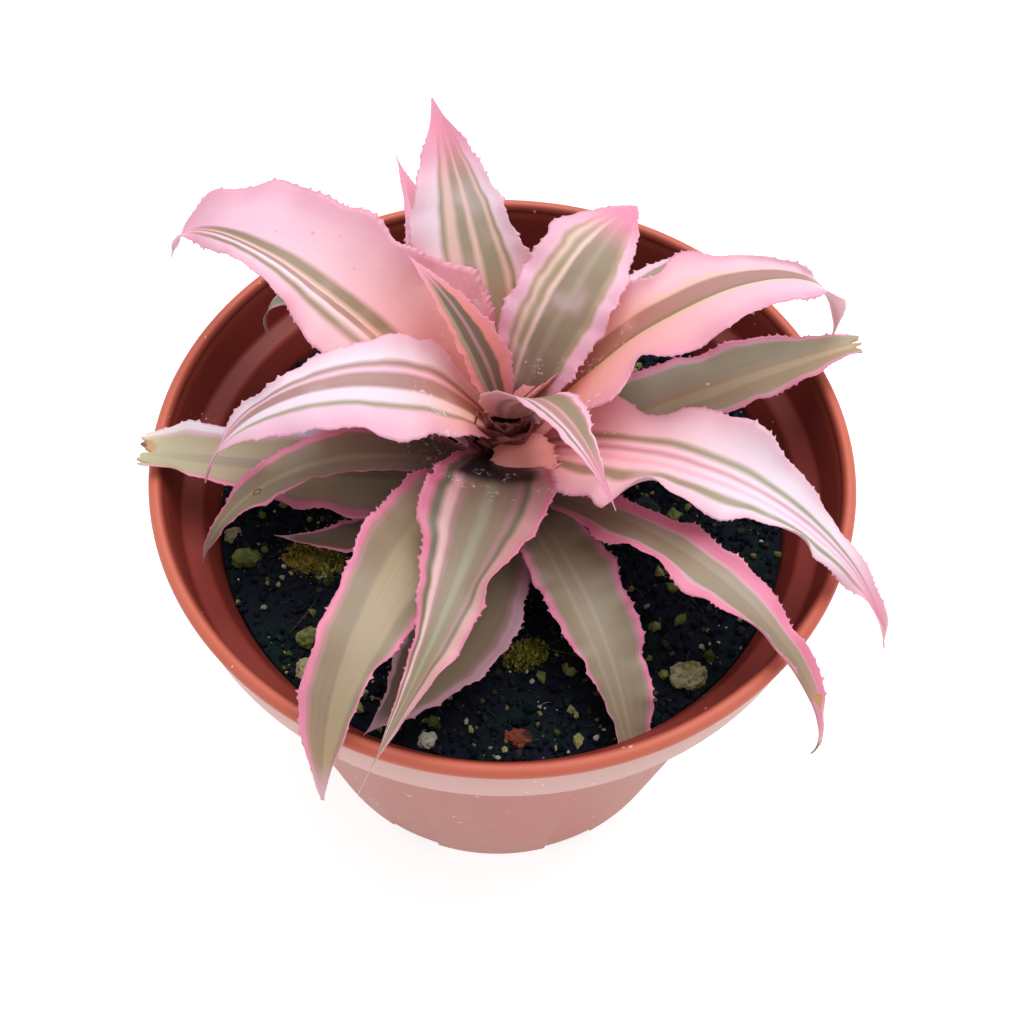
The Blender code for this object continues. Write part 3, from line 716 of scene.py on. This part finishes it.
bead = (POT_TOP_RADIUS - BEAD_RADIUS, POT_HEIGHT - BEAD_RADIUS)
outside = rounded([(0, 0), (POT_BASE_RADIUS, 0), (LEDGE_INNER[0] + WALL, LIP_BOTTOM),
                   (LIP_RADIUS, LIP_BOTTOM), (LIP_RADIUS + 0.5, GROOVE - 0.2),
                   (LIP_RADIUS - 0.5, GROOVE), (LIP_RADIUS - 0.4, GROOVE + 0.6)], 0.5)
inside = rounded([(LEDGE_OUTER[0] + 0.6, POT_HEIGHT - 3.4), LEDGE_OUTER, LEDGE_INNER,
                  (wall_inside(76.0), 76.0), (wall_inside(4.0), 4.0),
                  (wall_inside(4.0) - 1.6, FLOOR), (0, FLOOR)], 0.7)
POT_SECTION = np.concatenate([outside, arc(bead, BEAD_RADIUS, -60, 210, 18), inside])
print("points of the pot's section:", len(POT_SECTION))

# %% Pot finish
made, tree, shader = finish("terracotta plastic", 0.42, 0.28)
spot = place(tree)
where = node("ShaderNodeSeparateXYZ", {0: spot}).outputs
flat = vector(where["X"], where["Y"], 0.0)
radius = node("ShaderNodeVectorMath", {0: flat}, operation="LENGTH").outputs["Value"]


def at_height(start, end, *ends):
    """Fade over the height on the pot, from start to end in millimetres."""
    return fade(where["Z"], start * MM, end * MM, *ends)


# How far a point lies outside the middle of the sloping wall or of the lip, in metres.
slope = maths("MULTIPLY_ADD", where["Z"], WALL_SLOPE, (POT_BASE_RADIUS - WALL / 2) * MM)
in_lip = maths("GREATER_THAN", where["Z"], (LEDGE_INNER[1] - 0.1) * MM)
middle = maths("MAXIMUM", slope, times(in_lip, (LIP_RADIUS - 0.5) * MM))
outward = fade(maths("SUBTRACT", radius, middle), -0.0003, 0.0006)
bloom = times(outward, at_height(GROOVE + 0.8, GROOVE - 0.2))
streaky = node("ShaderNodeMapping", {"Vector": spot, "Scale": (1, 1, 0.25)}).outputs[0]
smear = cloud(streaky, 60.0, 5.0, 0.6)
# Inside colour: the bare plastic's own deep red, mottled with a much darker tone that is painted shade
# inside the pot. At the inner edge of the rim it is only the plastic's colour.
inside_plastic_and_shade = mix(cloud(spot, 40.0), tint(106, 35, 36), tint(162, 68, 54))
inside_plastic_and_shade = mix(at_height(GROOVE - 0.4, GROOVE + 0.8), inside_plastic_and_shade, tint(150, 66, 52))
plastic = mix(outward, inside_plastic_and_shade, mix(cloud(spot, 28.0), tint(196, 92, 72), tint(220, 122, 100)))
hazy = mix(smear, tint(158, 76, 62), tint(190, 114, 100))
band = mix(smear, tint(202, 150, 142), tint(224, 180, 172))
hazy = mix(at_height(LIP_BOTTOM - 0.3, LIP_BOTTOM + 0.3), hazy, band)
# Painted shade: a dark line in the groove under the rolled rim, on the outside of the pot, where the
# rim's overhang shades the wall.
groove_shade_rise = at_height(GROOVE - 0.6, GROOVE - 0.1, 0.0, 0.7)
groove_shade_band = times(groove_shade_rise, at_height(GROOVE + 1.0, GROOVE + 0.6))
colour = mix(times(groove_shade_band, outward), mix(bloom, plastic, hazy), tint(110, 50, 42))
specks, rare = cloud(spot, 900.0, 1.0), cloud(spot, 130.0, 1.0)
dots = times(fade(specks, 0.71, 0.75), fade(rare, 0.58, 0.66))
colour = mix(dots, colour, tint(240, 225, 215))
rubbed = maths("MULTIPLY_ADD", smear, 0.3, 0.3)
wire(tree, shader, colour, rubbed, cloud(spot, 700.0), 0.15, 0.1)
POT_PLASTIC = made

# %% Pot
pot = piece("nursery_pot", *lathe(POT_SECTION, POT_SIDES), POT_PLASTIC)
cutters = []
for foot in range(FEET):
    bpy.ops.mesh.primitive_cube_add(size=1.0)
    cutter = bpy.context.object
    turn = Matrix.Rotation(2 * pi * (foot + 0.5) / FEET, 4, "Z")
    middle = Vector((POT_BASE_RADIUS - 2.0, 0.0, (DRAIN_HEIGHT - FLOOR) / 2)) * MM
    size = Matrix.Diagonal((DRAIN_DEPTH * MM, DRAIN_WIDTH * MM, (DRAIN_HEIGHT + FLOOR) * MM, 1.0))
    cutter.matrix_world = turn @ Matrix.Translation(middle) @ size
    slot = pot.modifiers.new("slot", "BOOLEAN")
    slot.operation, slot.solver, slot.object = "DIFFERENCE", "EXACT", cutter
    cutters.append(cutter)
bpy.context.view_layer.update()
pot.data = bpy.data.meshes.new_from_object(pot.evaluated_get(bpy.context.evaluated_depsgraph_get()))
pot.modifiers.clear()
for cutter in cutters:
    bpy.data.objects.remove(cutter)
pot.data.shade_smooth()
pot.data.set_sharp_from_angle(angle=radians(35))
dress(pot, "pot")
print("pot faces:", len(pot.data.polygons))

# %% Stem
STEM_RADIUS, STEM_BOTTOM, STEM_TOP, SCARS, STEM_SIDES = 3.3, 66.0, 94.0, 10, 48
z = np.linspace(STEM_BOTTOM, STEM_TOP - 1.0, 12 * SCARS)
swell = 1 - 0.06 * np.abs(np.sin(pi * SCARS * (z - STEM_BOTTOM) / (STEM_TOP - STEM_BOTTOM)))
wall = join(STEM_RADIUS * swell, z)
STEM_SECTION = np.concatenate([[(0, STEM_BOTTOM)], wall, [(0, STEM_TOP)]])
made, tree, shader = finish("stem skin", 0.7)
flat_rings = node("ShaderNodeMapping", {"Vector": place(tree), "Scale": (40, 40, 900)}).outputs[0]
rings = cloud(flat_rings, 1.0)
wire(tree, shader, mix(rings, COLOURS["plum"], COLOURS["sheath"]), None, rings, 0.4, 0.2)
stem = piece("leaf_stem", *lathe(STEM_SECTION, STEM_SIDES), made)
dress(stem, "stem")
print("stem rings:", SCARS)

# %% [markdown]
# ## The soil
# Damp peat is nearly black, crumbly and full of small things. Its top is a round grid raised by
# four layers of smooth noise, and thousands of loose crumbs of a few faces each lie on it. Each
# crumb carries a tone of its own, which its finish turns into a colour.

# %% Soil surface
SOIL_LEVEL, SOIL_FLOOR, GAP = 75.0, 2.4, 0.3
SOIL_SIDES, SOIL_RINGS = 360, 110
CROWN, CROWN_RADIUS = 0.8, 52.0
CLODS = [(9, 0.55), (4, 0.45), (1.7, 0.35), (0.8, 0.2)]


def crown(x, y):
    """Height of the soil without its clods: a slight swell in the middle."""
    return SOIL_LEVEL + CROWN * (1 - (x**2 + y**2) / CROWN_RADIUS**2)


def soil_height(x, y):
    """Height of the peat: the crown and clods of four sizes, each (cell, height)."""
    flat = join(x, y, np.zeros_like(x))
    return crown(x, y) + sum(size * rough(flat, cell, seed) for seed, (cell, size) in enumerate(CLODS))


edge = wall_inside(SOIL_LEVEL) - GAP
low_edge = wall_inside(4.0) - GAP
rings = np.linspace(edge, 0.0, SOIL_RINGS)[:-1]
buried = [(0, SOIL_FLOOR), (low_edge - 1.9, SOIL_FLOOR), (low_edge, 4.3), (edge, SOIL_LEVEL - 1.5)]
level_rings = join(rings, np.full_like(rings, SOIL_LEVEL))
section = np.concatenate([buried, level_rings, [(0, SOIL_LEVEL)]])
points, faces = lathe(section, SOIL_SIDES)
upper = points[:, 2] > SOIL_LEVEL - 0.01
points[upper, 2] = soil_height(points[upper, 0], points[upper, 1])

made, tree, shader = finish("peat", 0.85, 0.12)
grain = cloud(place(tree), 900.0, 5.0, 0.7)
clumps = cloud(place(tree), 120.0, 3.0)
black = mix(grain, tint(7, 15, 32), tint(34, 38, 48))
green = mix(grain, tint(8, 24, 30), tint(30, 48, 40))
wire(tree, shader, mix(fade(clumps, 0.5, 0.62), black, green), None, grain, 0.9, 0.5)
soil = piece("peat_filling", points, faces, made)
dress(soil, "soil")
print("soil faces:", len(soil.data.polygons))

# %% Crumbs
# A stone has twelve corners, as an icosahedron has: a pole, two rings of five, and a pole.
CORNER_RADIUS, CORNER_HEIGHT = 0.894, 0.447
fifth = np.arange(5)
after = (fifth + 1) % 5
five = [join(CORNER_RADIUS * np.cos(turn), CORNER_RADIUS * np.sin(turn), np.full(5, height))
        for turn, height in ((2 * pi * fifth / 5, CORNER_HEIGHT),
                             (2 * pi * (fifth + 0.5) / 5, -CORNER_HEIGHT))]
STONE = np.concatenate([[(0, 0, 1)], *five, [(0, 0, -1)]])
STONE_FACES = np.concatenate([
    join(0 * fifth, 1 + fifth, 1 + after), join(1 + fifth, 6 + fifth, 1 + after),
    join(6 + fifth, 6 + after, 1 + after), join(11 + 0 * fifth, 6 + after, 6 + fifth)])


def scatter(chance, count, reach, least):
    """Random places on the soil out to a radius, evenly spread."""
    r, turn = reach * np.sqrt(chance.uniform(least, 1, count)), chance.uniform(0, 2 * pi, count)
    return r * np.cos(turn), r * np.sin(turn)


def strewn(name, points, faces, chance, skin, smooth=False):
    """Many small forms as one piece, from (count, corners, 3) points; each has its own tone."""
    count, corners = points.shape[:2]
    faces = (faces[None] + corners * np.arange(count)[:, None, None]).reshape(-1, 3)
    tone = np.repeat(chance.uniform(0, 1, count), corners)
    dress(piece(name, points.reshape(-1, 3), faces, skin, {"tone": tone}, smooth))
    print(name, count)


def turns(chance, count):
    """Random rotation matrices, from random unit quaternions."""
    four = chance.normal(size=(4, count)) + 1e-9
    w, x, y, z = four / np.linalg.norm(four, axis=0)
    return join(1 - 2 * (y * y + z * z), 2 * (x * y - z * w), 2 * (x * z + y * w),
                2 * (x * y + z * w), 1 - 2 * (x * x + z * z), 2 * (y * z - x * w),
                2 * (x * z - y * w), 2 * (y * z + x * w), 1 - 2 * (x * x + y * y)).reshape(-1, 3, 3)


def crumbs(name, count, smallest, largest, seed, skin, sink):
    """Loose crumbs strewn on the soil: uneven twenty-faced stones, most of them small."""
    chance = np.random.default_rng(seed)
    x, y = scatter(chance, count, 51.0, 0.01)
    size = smallest + (largest - smallest) * chance.uniform(0, 1, count) ** 2.5
    shape = STONE * chance.uniform(0.65, 1.25, (count, 12, 1)) * chance.uniform(0.6, 1, (count, 1, 3))
    shape = np.einsum("nij,nkj->nki", turns(chance, count), shape) * size[:, None, None]
    middle = join(x, y, soil_height(x, y) + size * (0.5 - sink))
    strewn(name, shape + middle[:, None], STONE_FACES, chance, skin)


def crumb_skin(name, *stops):
    """Finish of crumbs: the tone of each picks its colour from a ramp."""
    made, tree, shader = finish(name, 0.9, 0.15)
    grain = cloud(place(tree), 1500.0, 3.0, 0.6)
    colour = ramp(mark(tree, "tone"), [(at, tint(*screen)) for at, screen in stops])
    colour = mix(1.0, colour, maths("MULTIPLY_ADD", grain, 0.9, 0.5), "MULTIPLY")
    wire(tree, shader, colour, None, grain, 0.6, 0.15)
    return made


DARK_CRUMB = crumb_skin("dark crumb", (0, (6, 14, 30)), (0.6, (22, 28, 40)), (0.84, (30, 44, 44)),
                        (0.95, (60, 52, 46)), (1, (100, 86, 68)))
PALE_CRUMB = crumb_skin("pale crumb", (0, (150, 150, 136)), (0.4, (206, 200, 186)),
                        (0.7, (116, 110, 84)), (1, (176, 120, 76)))
GREEN_CRUMB = crumb_skin("green crumb", (0, (60, 76, 34)), (0.5, (128, 136, 76)),
                         (1, (166, 168, 110)))
crumbs("peat_crumbs", 9800, 0.15, 0.95, 11, DARK_CRUMB, sink=-0.1)
crumbs("perlite_crumbs", 700, 0.1, 0.75, 12, PALE_CRUMB, sink=-0.2)
crumbs("algae_crumbs", 420, 0.3, 1.5, 13, GREEN_CRUMB, sink=0.0)

# %% Fibres


def fibres(name, count, shortest, longest, thick, seed, skin, height=0.35, rows=10, sides=5):
    """Roots and twigs on the soil: thin closed tubes, each a gently turning line.

    The heading of a fibre grows along it, so that its line is the sum of short steps.
    """
    chance = np.random.default_rng(seed)
    x, y = scatter(chance, count, 48, 0.02)
    along = np.linspace(0, 1, rows)
    heading = chance.uniform(0, 2 * pi, count)[:, None] + chance.normal(0, 1.1, count)[:, None] * along
    length = shortest + (longest - shortest) * chance.uniform(0, 1, count) ** 2
    step = join(np.cos(heading), np.sin(heading)) * (length / (rows - 1))[:, None, None]
    line = np.cumsum(step, axis=1) + join(x, y)[:, None]
    away = np.linalg.norm(line, axis=-1, keepdims=True)
    line = line * np.minimum(1, 50.5 / np.maximum(away, 1))
    arch = chance.uniform(0, 1.2, count)[:, None] * np.sin(pi * along)
    level = soil_height(line[..., 0], line[..., 1]) + height + arch
    size = thick * chance.uniform(0.5, 1.0, count)[:, None] * (1 - 0.75 * along)
    spin = 2 * pi * np.arange(sides) / sides
    aside = join(-np.sin(heading), np.cos(heading))
    flat = line[:, :, None] + aside[:, :, None] * (size[..., None] * np.cos(spin))[..., None]
    tall = level[..., None] + size[..., None] * np.sin(spin)
    points = np.concatenate([flat, tall[..., None]], -1).reshape(count, -1, 3)
    first = np.arange(1, sides - 1)
    cap = join(np.zeros_like(first), first, first + 1)
    faces = triangles(grid_faces(rows, sides, joined=True))
    faces = np.concatenate([faces, cap[:, [0, 2, 1]], cap + (rows - 1) * sides])
    strewn(name, points, faces, chance, skin, smooth=True)


FIBRE = crumb_skin("fibre", (0, (30, 26, 24)), (0.5, (70, 56, 48)), (0.8, (96, 84, 66)),
                   (1, (150, 130, 110)))
fibres("root_fibres", 170, 2.0, 9.0, 0.13, 21, FIBRE)
fibres("twigs", 26, 3.0, 9.0, 0.42, 22, FIBRE, height=0.5)

# %% [markdown]
# ## Lumps
# Pumice, a grey stone, perlite and bark lie half sunk in the peat, each where the CAD model has
# it. A round grid is pushed in and out by noise of several sizes, and cut by facets and pits.

# %% Lumps
SUNK = 0.25
# Place on the soil, half sizes and turn of each.
LUMPS = {
    "pumice_large": ((32.0, -35.3), (3.5, 2.9, 2.6), 20),
    "pumice_right": ((34.0, -7.5), (2.1, 1.8, 1.7), 70),
    "pumice_right_small": ((31.0, -3.6), (1.5, 1.3, 1.2), 10),
    "stone_grey": ((25.5, -2.5), (3.0, 2.4, 2.0), -35),
    "pumice_heart": ((13.0, -3.0), (1.8, 1.5, 1.4), 0),
    "pumice_side": ((47.5, -2.0), (2.1, 1.7, 1.6), 25),
    "pumice_behind": ((24.5, 29.0), (2.2, 1.9, 1.7), 60),
    "pumice_back_left": ((-42.5, 22.5), (2.3, 2.1, 2.0), 40),
    "pumice_left": ((-44.5, -15.5), (2.4, 1.9, 1.7), 5),
    "pumice_left_small": ((-47.8, -10.5), (1.7, 1.4, 1.3), 80),
    "pumice_front_left": ((-32.0, -30.5), (2.2, 1.9, 1.8), 15),
    "pumice_edge_left": ((-31.5, -36.5), (2.1, 1.9, 1.8), 50),
    "perlite_front": ((-11.0, -48.0), (1.5, 1.3, 1.3), 30),
    "bark_chip": ((3.5, -47.0), (2.3, 1.6, 1.1), -10),
    "moss_left": ((-32.5, -15.5), (5.2, 3.2, 1.8), -15),
    "moss_front": ((4.5, -32.5), (3.6, 2.6, 1.4), 25),
}


def put(flat, turn, place):
    """Columns x and y of points turned about the origin by degrees, then moved to a place."""
    x, y, angle = flat[:, 0], flat[:, 1], radians(turn)
    return x * cos(angle) - y * sin(angle) + place[0], x * sin(angle) + y * cos(angle) + place[1]


def lump(name, place, half, turn, seed, skin, uneven=0.3, rows=44):
    """A stone: unit ways from pole to pole, scaled, pushed by noise and turned about Z."""
    slope = np.linspace(-pi / 2, pi / 2, rows + 2)
    ways, faces = lathe(join(np.cos(slope), np.sin(slope)), 2 * rows)
    facets = np.abs(rough(ways, 0.6, seed + 5))
    push = 1.04 + uneven * rough(ways, 0.9, seed) + uneven / 2 * rough(ways, 0.33, seed + 7)
    pits = np.clip(rough(ways, 0.2, seed + 3) - 0.1, 0, 1)
    push = push - 0.22 * facets - 0.14 * pits + 0.05 * rough(ways, 0.1, seed + 9)
    shape = ways * np.array(half) * push[:, None]
    level = shape[:, 2] + crown(*place) + SUNK * half[2]
    points = join(*put(shape, turn, place), level)
    return piece(name + "_rough", points, faces, skin, {"pit": pits})


def stone_skin(name, *screen, stained=0.5):
    """Finish of a stone: a body mottled dark and pale, a patchy stain and dark pits."""
    made, tree, shader = finish(name, 0.9, 0.2)
    dark, pale, stain = [tint(*colour) for colour in screen]
    body = mix(cloud(place(tree), 500.0, 4.0, 0.65), dark, pale)
    patches = fade(cloud(place(tree), 260.0, 3.0), 0.6 - stained / 4, 0.75 - stained / 4)
    body = mix(patches, body, stain)
    body = mix(fade(mark(tree, "pit"), 0.1, 0.7, 0.0, 0.6), body, tint(84, 78, 52))
    wire(tree, shader, body, None, cloud(place(tree), 1300.0, 4.0, 0.7), 0.8, 0.3)
    return made


PUMICE = stone_skin("pumice", (128, 124, 84), (206, 200, 164), (120, 126, 66), stained=0.45)
ALGAE = stone_skin("algae on pumice", (70, 82, 36), (160, 168, 104), (92, 104, 44))
LUMP_SKINS = {
    "pumice_left": ALGAE, "pumice_front_left": ALGAE, "pumice_right_small": ALGAE,
    "stone_grey": stone_skin("grey stone", (22, 34, 42), (58, 72, 80), (34, 48, 50)),
    "perlite_front": stone_skin("perlite", (196, 194, 176), (232, 230, 216), (176, 176, 136),
                                stained=0.2),
    "bark_chip": stone_skin("bark", (96, 44, 30), (158, 84, 58), (70, 36, 28)),
    "moss_left": stone_skin("moss bed", (44, 48, 22), (122, 122, 52), (150, 118, 52)),
    "moss_front": stone_skin("moss cushion", (24, 40, 14), (70, 88, 32), (96, 110, 44)),
}
for order, (name, values) in enumerate(LUMPS.items(), 1):
    dress(lump(name, *values, order, LUMP_SKINS.get(name, PUMICE)), name)
print("lumps:", len(LUMPS))

# %% Moss tufts


def tufts(name, on, count, seed, skin):
    """Moss on a lump: small upright three-sided spikes, densest on its top."""
    bed, half, angle = LUMPS[on]
    chance = np.random.default_rng(seed)
    spin, share = chance.uniform(0, 2 * pi, count), np.sqrt(chance.uniform(0, 1, count)) * 1.12
    flat = join(np.cos(spin) * half[0], np.sin(spin) * half[1]) * share[:, None]
    x, y = put(flat, angle, bed)
    rise = half[2] * np.sqrt(np.clip(1 - share**2, 0, 1)) * 0.85
    foot = join(x, y, soil_height(x, y) + SUNK * half[2] + rise - 0.25)
    size = chance.uniform(0.12, 0.3, count)[:, None, None]
    third = 2 * pi * np.arange(3) / 3
    ring = join(np.cos(third), np.sin(third), np.zeros(3))
    lean = chance.normal(0, 0.35, (count, 3)) * [1, 1, 0] + [0, 0, 1]
    top = foot + lean * chance.uniform(0.5, 1.1, (count, 1))
    faces = np.array([(0, 2, 1), (0, 1, 3), (1, 2, 3), (2, 0, 3)])
    points = np.concatenate([foot[:, None] + ring * size, top[:, None]], 1)
    strewn(name, points, faces, chance, skin)


MOSS = crumb_skin("moss tuft", (0, (38, 50, 20)), (0.4, (112, 118, 48)), (0.8, (186, 172, 80)),
                  (1, (226, 196, 104)))
tufts("moss_left_tufts", "moss_left", 900, 15, MOSS)
tufts("moss_front_tufts", "moss_front", 600, 16, MOSS)

# %% [markdown]
# ## The floor, the light and the camera
# A pale floor, one broad soft light overhead and a low fill from all round, and a camera close
# above the front of the pot.

# %% Floor and light
WHITE, FLOOR_GLOW, FILL = (1.0, 1.0, 1.0, 1.0), 0.755, 0.52
LAMP_SIZE, LAMP_POWER = 0.7, 6.2
LAMP_PLACE, LAMP_AIM = Vector((0.12, 0.22, 0.95)), Vector((0, 0, 0.08))
pale, _, pale_shader = finish("pale floor", 0.9)
settle(pale_shader, Base_Color=(0.6, 0.6, 0.6, 1.0), Emission_Color=WHITE,
       Emission_Strength=FLOOR_GLOW)
corner = 1500.0
floor = piece("floor", [(-corner, -corner, 0), (corner, -corner, 0), (corner, corner, 0),
                        (-corner, corner, 0)], [(0, 1, 2, 3)], pale, smooth=False)

world = bpy.data.worlds.new("studio")
bpy.context.scene.world = world
world.use_nodes = True
settle(world.node_tree.nodes["Background"], Color=WHITE, Strength=FILL)

lamp = bpy.data.lights.new("overhead", "AREA")
lamp.size, lamp.energy = LAMP_SIZE, LAMP_POWER
overhead = bpy.data.objects.new("overhead", lamp)
overhead.location = LAMP_PLACE
overhead.rotation_euler = (LAMP_AIM - LAMP_PLACE).to_track_quat("-Z", "Y").to_euler()
bpy.context.scene.collection.objects.link(overhead)

# %% Camera
CAMERA_DISTANCE = 0.1973
CAMERA_HEIGHT = 0.0927
ELEVATION, YAW, PITCH, ROLL = radians(53.24), radians(0.845), radians(56.6), radians(2.61)
LENS = 40.43

spot = Vector((0, -CAMERA_DISTANCE * cos(ELEVATION), CAMERA_HEIGHT + CAMERA_DISTANCE * sin(ELEVATION)))
forward = Vector((sin(YAW) * cos(PITCH), cos(YAW) * cos(PITCH), -sin(PITCH)))
level = Vector((cos(YAW), -sin(YAW), 0))
upward = level.cross(forward)
right = level * cos(ROLL) + upward * sin(ROLL)
top = upward * cos(ROLL) - level * sin(ROLL)
lens = bpy.data.cameras.new("camera")
lens.sensor_fit, lens.sensor_width, lens.lens = "HORIZONTAL", 36.0, LENS
camera = bpy.data.objects.new("camera", lens)
camera.matrix_world = Matrix.Translation(spot) @ Matrix((right, top, -forward)).transposed().to_4x4()
bpy.context.scene.collection.objects.link(camera)
bpy.context.scene.camera = camera
bpy.context.scene.view_settings.view_transform = "Standard"
